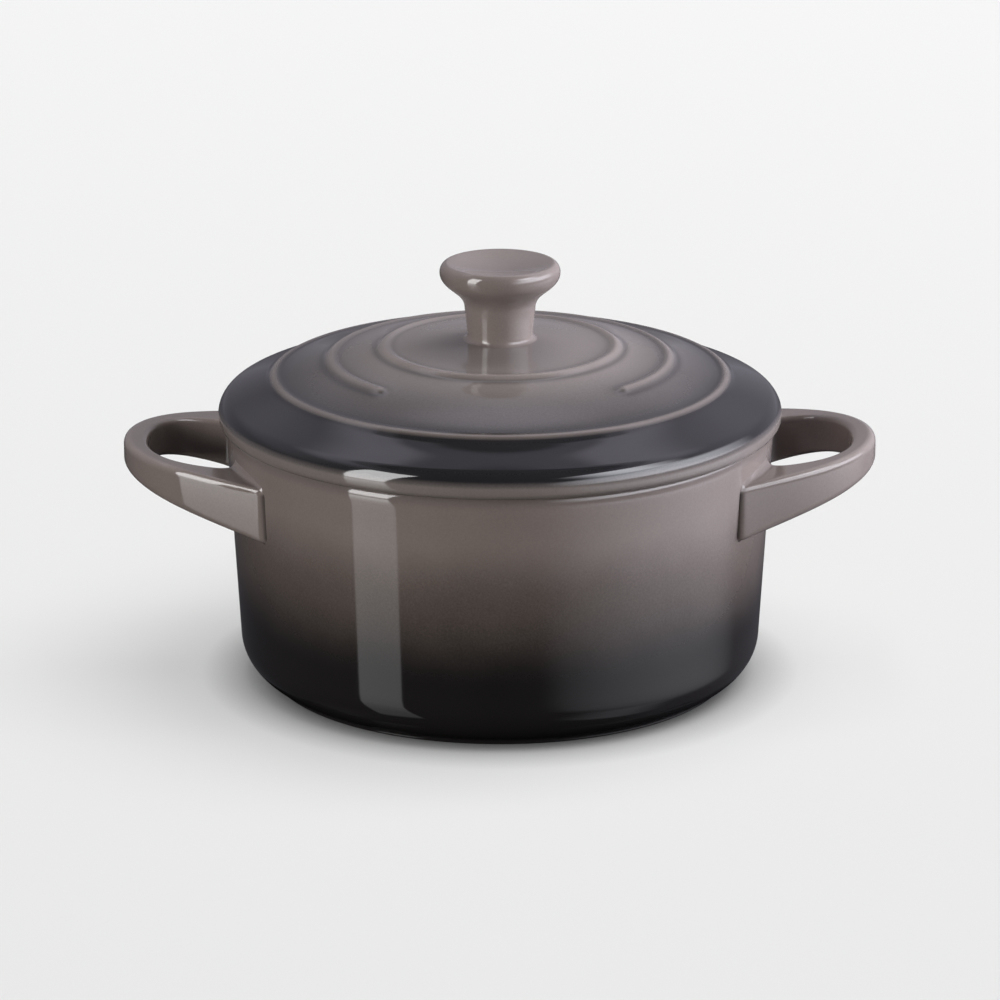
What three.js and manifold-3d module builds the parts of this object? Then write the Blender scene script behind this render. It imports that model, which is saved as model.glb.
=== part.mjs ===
// A stoneware mini cocotte: a round glazed pot with two loop handles and a domed lid with a knob.
// Millimetres, +Z up. The origin lies on the table under the middle of the foot ring, the handles
// point along X, and the break in the lid's middle ring faces -Y.
import * as THREE from 'three';
import { mergeVertices } from 'three/addons/utils/BufferGeometryUtils.js';
import Module from 'manifold-3d';

// Pot
const potHeight = 50; // table to the top of the rim
const rimRadius = 52.2; // outside of the wall at the rim
const wallDraft = 3.26; // degrees by which the wall leans in towards the foot
const wallThickness = 5.2;
const rimRounding = 1.4;
const heelRadius = 8.3; // outside rounding from the wall to the base
const floorThickness = 5.3;
const insideHeelRadius = 7.5; // inside rounding from the wall to the floor
const footInset = 5.5; // from the wall in to the outside of the foot ring
const footWidth = 3.6;
const footRise = 0.35; // table to the plane that the heel runs out on
const footRecess = 1.3; // depth of the hollow inside the foot ring

// Handles
const handleDrop = 5.8; // rim down to the top of a handle at its roots
const handleReach = 19.5; // outwards from the rim to the tip
const handleRootHalfWidth = 26; // middle of the handle to the outer corner of a root
const handleRootStep = 1.2; // how far that corner stands off the wall
const handleRootHeight = 10.2;
const handleTipHeight = 5.6;
const handleTipRise = 3.3; // how far the top climbs from the roots to the tip
const handleTipThickness = 4.6;
const handleSplay = 16.5; // degrees at which the outer side closes in at a root
const handleSidePull = 14.4; // how far the outer side keeps to that direction
const handleTipPull = 13.2; // how broad the outer side is at the tip
const handleCornerRadius = 2;
const handleEdgeRounding = 1.4;
const fingerGapHalfWidth = 14.7;
const fingerGapRootHalfWidth = 12.8; // narrower at the wall, where the roots spread
const fingerGapSpread = 4.4; // run from the wall out to the gap's full width
const fingerGapSidePull = 9.3; // how far the gap keeps about that width
const fingerGapTipPull = 9.3; // how broad the gap is at its tip
const slipGap = 0.3; // layer of slip between a handle and the wall

// Lid, with heights taken from the seat on the rim
const lidOverhang = 1.3; // how far the lid stands out past the rim
const lidEdgeHeight = 4.1;
const lidEdgeRounding = 1.4;
const domeRise = 11.8; // edge up to the crown
const lidThickness = 5;
const lidInsideRounding = 2.5; // from the dome to the flange
const flangeDepth = 4.5; // locating flange, down into the mouth of the pot
const flangeWidth = 4;
const flangeClearance = 0.9; // flange to the inside of the wall
const flangeRounding = 1;

// Raised rings on the lid
const innerRingRadius = 22.1;
const middleRingRadius = 32.2;
const outerRingRadius = 43.05;
const ringWidth = 2.9;
const ringHeight = 0.75;
const middleRingBreak = 90; // degrees of the middle ring that are left out

// Knob, with heights taken from its seat on the lid
const knobHeight = 15.2;
const knobRadius = 11.45;
const knobCrownHeight = 2.4; // widest line up to the crest
const knobCrestInset = 2.55; // widest line in to the crest
const knobDish = 0.9; // hollow in the top
const knobStemRadius = 6.25;
const knobStemTaper = 0.3; // how much wider the stem is at its neck
const knobNeckHeight = 5.9; // seat up to where the head begins
const knobHeadPull = 3.1; // how softly the neck turns into the head
const knobFlareWidth = 1.05; // how far the stem spreads at the lid
const knobFlareHeight = 1.1;
const knobFlareEdge = 0.35;

// Faceting
const roundSegments = 64;
const knobSegments = 36;
const facetError = 0.06; // how far a facet may lie inside a rounding
const curveSteps = 5;
const handleCurveSteps = 10;
const domeFacets = 5;
const ringFacets = 6;
const handleEdgeFacets = 3;

const wasm = await Module();
wasm.setup();

const draftSlope = Math.tan(THREE.MathUtils.degToRad(wallDraft));
const wallRadius = (z) => rimRadius - (potHeight - z) * draftSlope;
const insideRadius = (z) => wallRadius(z) - wallThickness;

const lidRadius = rimRadius + lidOverhang;
const domeRadius = (lidRadius ** 2 + domeRise ** 2) / (2 * domeRise);
const domeCentre = lidEdgeHeight + domeRise - domeRadius;
const domeHeight = (r) => domeCentre + Math.sqrt(domeRadius ** 2 - r ** 2);
const lidInsideHeight = (r) => domeCentre + Math.sqrt((domeRadius - lidThickness) ** 2 - r ** 2);

const knobSeatRadius = knobStemRadius + knobFlareWidth;
const knobSeatHeight = domeHeight(knobSeatRadius);

// A rounding that leaves some of its wall flat, however thin the wall is.
const fitRounding = (rounding, wall) => Math.min(rounding, 0.4 * wall);

// How many facets follow an arc closely enough.
function arcFacets(radius, turn) {
  return Math.max(2, Math.ceil(turn / (2 * Math.acos(1 - facetError / radius))));
}

// Points along a line of corners [x, y, rounding], with an arc in place of each rounded corner.
function roundedLine(corners) {
  return corners.flatMap(([x, y, rounding = 0], i) => {
    const corner = new THREE.Vector2(x, y);
    if (rounding === 0) {
      return [corner];
    }
    const [before, after] = [corners[i - 1], corners[i + 1]].map(
      ([nextX, nextY]) => new THREE.Vector2(nextX, nextY).sub(corner).normalize(),
    );
    const halfAngle = before.angleTo(after) / 2;
    const tangent = rounding / Math.tan(halfAngle);
    const middle = before.clone().add(after).setLength(rounding / Math.sin(halfAngle)).add(corner);
    const start = before.multiplyScalar(tangent).add(corner).sub(middle).angle();
    const end = after.multiplyScalar(tangent).add(corner).sub(middle).angle();
    const clockwise = THREE.MathUtils.euclideanModulo(end - start, 2 * Math.PI) > Math.PI;
    const arc = new THREE.EllipseCurve(middle.x, middle.y, rounding, rounding, start, end, clockwise);
    return arc.getPoints(arcFacets(rounding, Math.PI - 2 * halfAngle));
  });
}

// The same geometry with shared vertices merged and nothing stored but positions.
function bare(geometry) {
  geometry.deleteAttribute('normal');
  geometry.deleteAttribute('uv');
  return mergeVertices(geometry);
}

// A solid of revolution about Z from a profile of (radius, height) points that runs from the axis
// outwards underneath and back to the axis on top.
function revolve(profile, segments) {
  return bare(new THREE.LatheGeometry(profile, segments).rotateX(Math.PI / 2));
}

function toSolid(geometry) {
  const vertProperties = new Float32Array(geometry.attributes.position.array);
  const triVerts = new Uint32Array(geometry.index.array);
  return new wasm.Manifold(new wasm.Mesh({ numProp: 3, vertProperties, triVerts }));
}

function toGeometry(solid) {
  const { vertProperties, triVerts } = solid.getMesh();
  const geometry = new THREE.BufferGeometry();
  geometry.setAttribute('position', new THREE.BufferAttribute(vertProperties, 3));
  geometry.setIndex(new THREE.BufferAttribute(triVerts, 1));
  return geometry;
}

function mesh(name, geometry, color) {
  geometry.computeVertexNormals();
  const material = new THREE.MeshStandardMaterial({ color, roughness: 0.14, metalness: 0 });
  const piece = new THREE.Mesh(geometry, material);
  piece.name = name;
  return piece;
}

// The pot stands on a narrow ring inside a well rounded heel, and its wall opens up a little.
function potGeometry() {
  const heelHeight = footRise + heelRadius;
  const heelMiddle = wallRadius(heelHeight) - heelRadius * Math.hypot(1, draftSlope);
  const footRadius = wallRadius(heelHeight) - footInset;
  const footInside = footRadius - footWidth;
  const heelStart = -Math.acos((footRadius - heelMiddle) / heelRadius);
  const heelEnd = -Math.atan(draftSlope);
  const heel = new THREE.EllipseCurve(heelMiddle, heelHeight, heelRadius, heelRadius, heelStart, heelEnd);
  const wallStart = heel.getPoint(1);
  const floorHeight = footRecess + floorThickness;
  const rounding = fitRounding(rimRounding, wallThickness);
  return revolve(
    [
      ...roundedLine([[0, footRecess], [footInside, footRecess], [footInside, 0], [footRadius, 0]]),
      ...heel.getPoints(arcFacets(heelRadius, heelEnd - heelStart)).slice(0, -1),
      ...roundedLine([
        [wallStart.x, wallStart.y],
        [wallRadius(potHeight), potHeight, rounding],
        [insideRadius(potHeight), potHeight, rounding],
        [insideRadius(floorHeight), floorHeight, insideHeelRadius],
        [0, floorHeight],
      ]),
    ],
    roundSegments,
  );
}

// A handle is a strap bent to a blunt arch, deep at its roots and slim at its tip. Its plan is
// drawn as a U whose legs run into the wall, which then cuts them off.
function handleGeometry() {
  const topAtRoot = potHeight - handleDrop;
  const bottomAtRoot = topAtRoot - handleRootHeight;
  const topAtTip = topAtRoot + handleTipRise;
  const bottomAtTip = topAtTip - handleTipHeight;
  const wallAtRoot = wallRadius((topAtRoot + bottomAtRoot) / 2);
  const legDepth = handleCornerRadius + handleRootStep;

  const tip = rimRadius + handleReach;
  const corner = new THREE.Vector2(wallAtRoot + handleRootStep, 0);
  corner.rotateAround(new THREE.Vector2(), -Math.asin(handleRootHalfWidth / corner.x));
  const inward = corner.clone().normalize().negate();
  const splay = THREE.MathUtils.degToRad(handleSplay);
  const along = new THREE.Vector2(Math.cos(splay), Math.sin(splay));
  const legEnd = corner.clone().addScaledVector(inward, handleRootStep + legDepth);
  const cornerStart = corner.clone().addScaledVector(inward, handleCornerRadius);
  const cornerEnd = corner.clone().addScaledVector(along, handleCornerRadius);
  const sidePull = corner.clone().addScaledVector(along, handleSidePull);

  const gapTip = tip - handleTipThickness;
  const gapWall = Math.sqrt(wallAtRoot ** 2 - fingerGapRootHalfWidth ** 2);
  const gapLegEnd = gapWall - legDepth;
  const gapSpread = gapWall + fingerGapSpread / 2;
  const gapBend = gapWall + fingerGapSpread;
  const gapSidePull = gapBend + fingerGapSidePull;

  const plan = new THREE.Shape();
  plan.moveTo(legEnd.x, legEnd.y);
  plan.lineTo(cornerStart.x, cornerStart.y);
  plan.quadraticCurveTo(corner.x, corner.y, cornerEnd.x, cornerEnd.y);
  plan.bezierCurveTo(sidePull.x, sidePull.y, tip, -handleTipPull, tip, 0);
  plan.bezierCurveTo(tip, handleTipPull, sidePull.x, -sidePull.y, cornerEnd.x, -cornerEnd.y);
  plan.quadraticCurveTo(corner.x, -corner.y, cornerStart.x, -cornerStart.y);
  plan.lineTo(legEnd.x, -legEnd.y);
  plan.lineTo(gapLegEnd, fingerGapRootHalfWidth);
  plan.lineTo(gapWall, fingerGapRootHalfWidth);
  plan.quadraticCurveTo(gapSpread, fingerGapHalfWidth, gapBend, fingerGapHalfWidth);
  plan.bezierCurveTo(gapSidePull, fingerGapHalfWidth, gapTip, fingerGapTipPull, gapTip, 0);
  plan.bezierCurveTo(gapTip, -fingerGapTipPull, gapSidePull, -fingerGapHalfWidth, gapBend, -fingerGapHalfWidth);
  plan.quadraticCurveTo(gapSpread, -fingerGapHalfWidth, gapWall, -fingerGapRootHalfWidth);
  plan.lineTo(gapLegEnd, -fingerGapRootHalfWidth);

  const rounding = fitRounding(handleEdgeRounding, Math.min(handleTipThickness, handleTipHeight));
  const slab = new THREE.ExtrudeGeometry(plan, {
    depth: handleRootHeight - 2 * rounding,
    curveSegments: handleCurveSteps,
    bevelSize: rounding,
    bevelThickness: rounding,
    bevelOffset: -rounding,
    bevelSegments: handleEdgeFacets,
  });
  const strap = bare(slab.translate(0, 0, rounding));
  const point = strap.attributes.position;
  for (let i = 0; i < point.count; i += 1) {
    const share = (point.getX(i) - corner.x) / (tip - corner.x);
    const bottom = THREE.MathUtils.lerp(bottomAtRoot, bottomAtTip, share);
    const top = THREE.MathUtils.lerp(topAtRoot, topAtTip, share);
    point.setZ(i, THREE.MathUtils.lerp(bottom, top, point.getZ(i) / handleRootHeight));
  }

  const low = bottomAtRoot - handleRootHeight;
  const high = topAtTip + handleRootHeight;
  const wall = revolve(
    roundedLine([[0, low], [wallRadius(low) + slipGap, low], [wallRadius(high) + slipGap, high], [0, high]]),
    roundSegments,
  );
  return toGeometry(toSolid(strap).subtract(toSolid(wall)));
}

// How far the raised rings lift the dome at a radius and at an angle from the front.
function ringRelief(r, angle) {
  const ridge = (ringRadius) => {
    const offset = THREE.MathUtils.clamp((r - ringRadius) / (ringWidth / 2), -1, 1);
    return ringHeight * Math.cos((offset * Math.PI) / 2) ** 2;
  };
  const pastBreak = Math.abs(angle) - THREE.MathUtils.degToRad(middleRingBreak / 2);
  const middleShare = THREE.MathUtils.clamp((pastBreak * middleRingRadius) / ringWidth, 0, 1);
  return ridge(innerRingRadius) + middleShare * ridge(middleRingRadius) + ridge(outerRingRadius);
}

// The lid is a shallow dome over a flat seat, with a flange underneath that keeps it centred.
function lidGeometry() {
  const edgeRounding = fitRounding(lidEdgeRounding, lidEdgeHeight);
  const ringRadii = [innerRingRadius, middleRingRadius, outerRingRadius];
  const ridgeStations = ringRadii.flatMap((ringRadius) =>
    Array.from({ length: ringFacets + 1 }, (_, i) => ringRadius + ringWidth * (i / ringFacets - 0.5)),
  );
  const domeEnds = [knobSeatRadius, ...ringRadii, lidRadius];
  const bandStations = ringRadii.map((ringRadius, i) => (domeEnds[i] + ringRadius) / 2);
  const outerBandStation = (outerRingRadius + lidRadius) / 2;
  const domeStations = [...ridgeStations, ...bandStations, outerBandStation]
    .filter((r) => r > knobSeatRadius && r < lidRadius - edgeRounding)
    .sort((a, b) => b - a);

  const flangeTop = insideRadius(potHeight) - flangeClearance;
  const flangeBottom = insideRadius(potHeight - flangeDepth) - flangeClearance;
  const flangeInside = flangeBottom - flangeWidth;
  const flangeEdge = fitRounding(flangeRounding, Math.min(flangeWidth, flangeDepth));
  const insideSpan = flangeInside - 2 * lidInsideRounding;
  const insideStations = Array.from({ length: domeFacets + 1 }, (_, i) => (insideSpan * i) / domeFacets);

  const geometry = revolve(
    roundedLine([
      ...insideStations.map((r) => [r, lidInsideHeight(r)]),
      [flangeInside, lidInsideHeight(flangeInside), lidInsideRounding],
      [flangeInside, -flangeDepth, flangeEdge],
      [flangeBottom, -flangeDepth, flangeEdge],
      [flangeTop, 0],
      [lidRadius, 0, edgeRounding],
      [lidRadius, lidEdgeHeight, edgeRounding],
      ...domeStations.map((r) => [r, domeHeight(r)]),
      [knobSeatRadius, knobSeatHeight],
      [0, knobSeatHeight],
    ]),
    roundSegments,
  );

  const point = geometry.attributes.position;
  for (let i = 0; i < point.count; i += 1) {
    const [x, y, z] = [point.getX(i), point.getY(i), point.getZ(i)];
    const r = Math.hypot(x, y);
    if (r > knobSeatRadius && z > (domeHeight(r) + lidInsideHeight(r)) / 2) {
      point.setZ(i, z + ringRelief(r, Math.atan2(x, -y)));
    }
  }
  return geometry;
}

// The knob has a slim stem that spreads where it meets the lid, and a broad head, dished on top.
function knobGeometry() {
  const neckRadius = knobStemRadius + knobStemTaper;
  const widest = knobHeight - knobCrownHeight;
  const crest = knobRadius - knobCrestInset;
  const dish = knobHeight - knobDish;
  const flareTop = knobFlareEdge + knobFlareHeight;
  const profile = new THREE.Path();
  profile.moveTo(0, 0);
  profile.lineTo(knobSeatRadius, 0);
  profile.lineTo(knobSeatRadius, knobFlareEdge);
  profile.quadraticCurveTo(knobStemRadius, knobFlareEdge, knobStemRadius, flareTop);
  profile.lineTo(neckRadius, knobNeckHeight);
  profile.bezierCurveTo(
    neckRadius,
    knobNeckHeight + knobHeadPull,
    knobRadius,
    widest - knobHeadPull,
    knobRadius,
    widest,
  );
  profile.quadraticCurveTo(knobRadius, knobHeight, crest, knobHeight);
  profile.bezierCurveTo(crest / 2, knobHeight, crest / 2, dish, 0, dish);
  return revolve(profile.getPoints(curveSteps), knobSegments);
}

const taupeGlaze = 0x6f6765;
const charcoalGlaze = 0x3a3738;

const lidAssembly = new THREE.Group();
lidAssembly.position.z = potHeight;
const knob = mesh('lid_knob', knobGeometry(), taupeGlaze);
knob.position.z = knobSeatHeight;
lidAssembly.add(mesh('lid', lidGeometry(), charcoalGlaze), knob);

const rightHandle = mesh('handle_right', handleGeometry(), taupeGlaze);
const leftHandle = mesh('handle_left', handleGeometry(), taupeGlaze);
leftHandle.rotation.z = Math.PI;

const cocotte = new THREE.Group();
cocotte.add(mesh('pot_body', potGeometry(), charcoalGlaze), leftHandle, rightHandle, lidAssembly);

export default cocotte;
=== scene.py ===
"""Dress the mini cocotte: a glazed stoneware pot with two loop handles, a ringed lid and its knob.

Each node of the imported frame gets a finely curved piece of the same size, an ombre glaze that runs
from taupe to charcoal, and the studio light that the glaze needs to show its gloss.
"""

from __future__ import annotations

import logging
import math
from dataclasses import dataclass
from enum import Enum
from typing import Any, Callable, Iterable, Mapping, Optional, Sequence, Union

import bmesh
import bpy
from bmesh.types import BMesh
from bpy.types import Material, Object
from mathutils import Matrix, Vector
from mathutils.geometry import interpolate_bezier


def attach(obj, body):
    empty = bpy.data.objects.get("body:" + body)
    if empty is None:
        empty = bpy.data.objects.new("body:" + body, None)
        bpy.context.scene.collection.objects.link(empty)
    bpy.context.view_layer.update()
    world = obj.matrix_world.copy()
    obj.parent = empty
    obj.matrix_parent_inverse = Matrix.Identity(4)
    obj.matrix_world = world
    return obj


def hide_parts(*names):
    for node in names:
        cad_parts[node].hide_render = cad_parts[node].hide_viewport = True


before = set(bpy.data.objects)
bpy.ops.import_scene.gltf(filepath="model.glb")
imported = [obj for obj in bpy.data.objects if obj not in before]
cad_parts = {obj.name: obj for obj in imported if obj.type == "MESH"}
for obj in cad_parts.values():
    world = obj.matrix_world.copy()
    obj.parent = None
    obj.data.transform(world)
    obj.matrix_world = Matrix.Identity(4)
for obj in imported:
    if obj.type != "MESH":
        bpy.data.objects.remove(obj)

LOG = logging.getLogger("cocotte")
MERGE_DISTANCE = 1e-6
ROUND_PULL = 0.55
CORNER_PULL = 0.42
STRAIGHT_PULL = 0.33

Number = Union[float, int, "Signal"]
Pair = tuple[float, float]


class Tint(Enum):
    """The colours of the fired set and its studio, as linear red, green and blue."""

    TAUPE = (0.205, 0.172, 0.163)
    PALE_TAUPE = (0.250, 0.212, 0.200)
    LID_TAUPE = (0.186, 0.162, 0.155)
    INSIDE_TAUPE = (0.262, 0.226, 0.212)
    UMBER = (0.083, 0.064, 0.056)
    SLATE = (0.080, 0.072, 0.073)
    CHARCOAL = (0.0125, 0.0115, 0.0120)
    CHARCOAL_BLUE = (0.0150, 0.0146, 0.0166)
    BARE_CLAY = (0.420, 0.350, 0.272)
    FLOOR_NEAR = (0.800, 0.800, 0.800)
    FLOOR_FAR = (0.985, 0.985, 0.985)
    BACKDROP = (0.925, 0.925, 0.925)
    BLACK = (0.000, 0.000, 0.000)
    ROOM = (0.900, 0.868, 1.000)
    COOL_LAMP = (0.975, 0.985, 1.060)
    PLAIN_LAMP = (1.000, 1.000, 1.000)
    WARM_LAMP = (1.020, 0.995, 0.945)


class Layer(Enum):
    """The vertex layers that the builders paint and the glazes read; below zero the crest layer is painted
    shade.
    """

    CREST_AND_SHADE = "crest"
    INSIDE = "inside"
    BARE = "bare"


def operator(operation: str, swapped: bool = False) -> Callable[["Signal", Number], "Signal"]:
    """Make a method of a signal that adds one Math node.

    Args:
        operation: The Math node's operation.
        swapped: Whether the signal is the second operand.

    Returns:
        The method.
    """
    def apply(signal: "Signal", other: Number) -> "Signal":
        """Add the node for the signal and another value."""
        places = {1: signal, 0: other} if swapped else {0: signal, 1: other}
        return signal.canvas.node("Math", {"operation": operation}, places)

    return apply


class Signal:
    """A shader socket that takes part in Python expressions."""

    def __init__(self, canvas: "Canvas", socket: bpy.types.NodeSocket) -> None:
        """Keep the socket and the canvas it belongs to."""
        self.canvas = canvas
        self.socket = socket

    __add__ = operator("ADD")
    __radd__ = operator("ADD", swapped=True)
    __sub__ = operator("SUBTRACT")
    __rsub__ = operator("SUBTRACT", swapped=True)
    __mul__ = operator("MULTIPLY")
    __rmul__ = operator("MULTIPLY", swapped=True)
    __pow__ = operator("POWER")
    at_most = operator("MINIMUM")
    at_least = operator("MAXIMUM")

    def ease(self, low: float, high: float) -> "Signal":
        """Rise smoothly from 0 at low to 1 at high, which may lie below low."""
        settings = {"interpolation_type": "SMOOTHSTEP"}
        return self.canvas.node(
            "MapRange", settings, {"Value": self, "From Min": low, "From Max": high})

    def sibling(self, output: Union[str, int]) -> "Signal":
        """Give another output of the same node."""
        return Signal(self.canvas, self.socket.node.outputs[output])


class Canvas:
    """The node tree of one material, lamp or world."""

    def __init__(self, tree: bpy.types.NodeTree) -> None:
        """Clear the tree and keep it."""
        tree.nodes.clear()
        self.tree = tree

    def node(
        self,
        kind: str,
        settings: Optional[Mapping[str, Any]] = None,
        sockets: Optional[Mapping[Union[str, int], Any]] = None,
        output: Union[str, int] = 0,
    ) -> Signal:
        """Add a node.

        Args:
            kind: The shader node's type.
            settings: The node's own settings, which are set before its sockets.
            sockets: Values or signals for its inputs, by name or place.
            output: The output that is wanted.

        Returns:
            The wanted output.
        """
        made = self.tree.nodes.new(f"ShaderNode{kind}")
        for name, value in (settings or {}).items():
            setattr(made, name, value)
        for name, value in (sockets or {}).items():
            if isinstance(value, Signal):
                self.tree.links.new(value.socket, made.inputs[name])
            else:
                made.inputs[name].default_value = value
        if not made.outputs:
            return Signal(self, made.inputs[0])
        return Signal(self, made.outputs[output])

    def place(self) -> Signal:
        """Give the Object coordinates."""
        return self.node("TexCoord", output="Object")

    def axis(self, vector: Signal, name: str) -> Signal:
        """Give one axis of a vector."""
        return self.node("SeparateXYZ", None, {0: vector}, output=name)

    def layer(self, layer: Layer) -> Signal:
        """Give a painted vertex layer."""
        settings = {"attribute_name": layer.value}
        return self.node("Attribute", settings, output="Fac")

    def noise(self, place: Signal, grain: float, detail: float = 2.0) -> Signal:
        """Give a noise field about 0.5, with grains of a size in metres."""
        return self.node(
            "TexNoise", None, {"Vector": place, "Scale": 1.0 / grain, "Detail": detail})

    def blend(self, first: Any, second: Any, share: Number) -> Signal:
        """Mix two colours.

        Args:
            first: The colour at share 0, a signal or a tint.
            second: The colour at share 1, a signal or a tint.
            share: How much of the second colour there is.

        Returns:
            The mixed colour.
        """
        made = self.node("Mix", {"data_type": "RGBA"}, {0: share}, output=2)
        node = made.socket.node
        for socket, value in ((node.inputs[6], first), (node.inputs[7], second)):
            if isinstance(value, Signal):
                self.tree.links.new(value.socket, socket)
            else:
                socket.default_value = (*value.value, 1.0)
        return made


@dataclass(frozen=True)
class Glaze:
    """A glossy fired glaze with a fine speckle, thin pale edges, painted shade where the crest layer is below
    zero, and bare clay where none was sprayed.
    """

    name: str
    pale: Tint = Tint.TAUPE
    dark: Tint = Tint.CHARCOAL
    between: Tint = Tint.UMBER
    edge: Tint = Tint.PALE_TAUPE
    gloss: float = 0.055
    clay_roughness: float = 0.82
    index: float = 1.5
    speckle_grain: float = 0.00035
    cloud_grain: float = 0.012
    pit_grain: float = 0.0016
    wave_grain: float = 0.022
    clay_grain: float = 0.00056
    cover: Pair = (-0.6, 0.2)
    drift: float = 0.003
    spray: float = 0.9
    between_share: float = 1.8
    speckle_tone: float = 0.22
    cloud_tone: float = 0.14
    gloss_drift: float = 0.03
    pit_relief: float = 0.010
    wave_relief: float = 0.5
    clay_relief: float = 0.6
    bump_strength: float = 0.35
    bump_distance: float = 0.0001

    def depth(self, canvas: Canvas, place: Signal) -> Signal:
        """Give the share of pale glaze over the piece, 0 where the dark spray covers it."""
        return canvas.noise(place, self.cloud_grain).ease(*self.cover)

    def material(self) -> Material:
        """Make the glaze's material.

        Returns:
            The new material.
        """
        made = bpy.data.materials.new(self.name)
        made.use_nodes = True
        canvas = Canvas(made.node_tree)
        place = canvas.place()
        speckle = canvas.noise(place, self.speckle_grain, 1.0)
        cloud = canvas.noise(place, self.cloud_grain, 3.0)
        bare = canvas.layer(Layer.BARE)
        crest = canvas.layer(Layer.CREST_AND_SHADE)

        depth = self.depth(canvas, place)
        mist = depth * (1.0 - depth)
        sprayed = depth + (speckle - 0.5) * self.spray * mist
        plain = canvas.blend(self.dark, self.pale, sprayed.at_least(0.0).at_most(1.0))
        body = canvas.blend(plain, self.between, mist * self.between_share)
        inside = canvas.blend(body, Tint.INSIDE_TAUPE, canvas.layer(Layer.INSIDE))
        broken = canvas.blend(inside, self.edge, crest.at_least(0.0))
        # Negative crest values mix in the dark glaze as painted shade in creases, grooves and under the lid's
        # edge.
        with_painted_shade = canvas.blend(broken, self.dark, (0.0 - crest).at_least(0.0))
        tone = 1.0 + (speckle - 0.5) * self.speckle_tone + (cloud - 0.5) * self.cloud_tone
        shade = canvas.node("CombineXYZ", None, {"X": tone, "Y": tone, "Z": tone})
        toned = canvas.node(
            "VectorMath", {"operation": "MULTIPLY"}, {0: with_painted_shade, 1: shade})
        colour = canvas.blend(toned, Tint.BARE_CLAY, bare)

        smooth = self.gloss + (cloud - 0.5) * self.gloss_drift
        roughness = smooth + bare * (self.clay_roughness - self.gloss)
        pits = canvas.noise(place, self.pit_grain, 2.0)
        waves = canvas.noise(place, self.wave_grain, 1.0)
        grain = canvas.noise(place, self.clay_grain, 3.0)
        relief = pits * self.pit_relief + waves * self.wave_relief + grain * bare * self.clay_relief
        bump = canvas.node("Bump", None, {
            "Strength": self.bump_strength, "Distance": self.bump_distance, "Height": relief})
        shader = canvas.node("BsdfPrincipled", None, {
            "Base Color": colour, "Roughness": roughness, "IOR": self.index, "Normal": bump})
        canvas.node("OutputMaterial", None, {"Surface": shader})
        return made


@dataclass(frozen=True)
class PotGlaze(Glaze):
    """The pot's glaze, which darkens from taupe below the rim to charcoal at the foot."""

    dark_height: float = 0.012
    pale_height: float = 0.042
    hold: float = 1.35

    def depth(self, canvas: Canvas, place: Signal) -> Signal:
        """Give the share of pale glaze by height.

        Args:
            canvas: The material's canvas.
            place: The Object coordinates.

        Returns:
            The share of pale glaze.
        """
        height = canvas.axis(place, "Z")
        drift = (canvas.noise(place, self.cloud_grain) - 0.5) * self.drift
        return (height + drift).ease(self.dark_height, self.pale_height) ** self.hold


@dataclass(frozen=True)
class LidGlaze(Glaze):
    """The lid's glaze, taupe in the middle and charcoal blue towards a pale edge."""

    pale: Tint = Tint.LID_TAUPE
    between: Tint = Tint.SLATE
    dark: Tint = Tint.CHARCOAL_BLUE
    pale_radius: float = 0.024
    dark_radius: float = 0.0455
    edge_top: float = 0.0537
    edge_bottom: float = 0.0522
    lip_drift: float = 0.1

    def depth(self, canvas: Canvas, place: Signal) -> Signal:
        """Give the share of pale glaze by radius, and below the lid's edge by height.

        Args:
            canvas: The material's canvas.
            place: The Object coordinates.

        Returns:
            The share of pale glaze.
        """
        height = canvas.axis(place, "Z")
        flat = canvas.node(
            "VectorMath", {"operation": "MULTIPLY"}, {0: place, 1: (1.0, 1.0, 0.0)})
        radius = canvas.node("VectorMath", {"operation": "LENGTH"}, {0: flat}, "Value")
        drift = (canvas.noise(place, self.cloud_grain) - 0.5) * self.drift
        middle = (radius + drift).ease(self.dark_radius, self.pale_radius)
        lip = (height + drift * self.lip_drift).ease(self.edge_top, self.edge_bottom)
        return middle.at_least(lip)


@dataclass(frozen=True)
class Corner:
    """A point of a cut line, with how far its rounding reaches along each side."""

    radius: float
    height: float
    rounding: float = 0.0


@dataclass(frozen=True)
class Bend:
    """A curved run of a cut line from the point before it, with its two pulls, its end and its steps."""

    first: Pair
    second: Pair
    end: Pair
    steps: int


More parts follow.
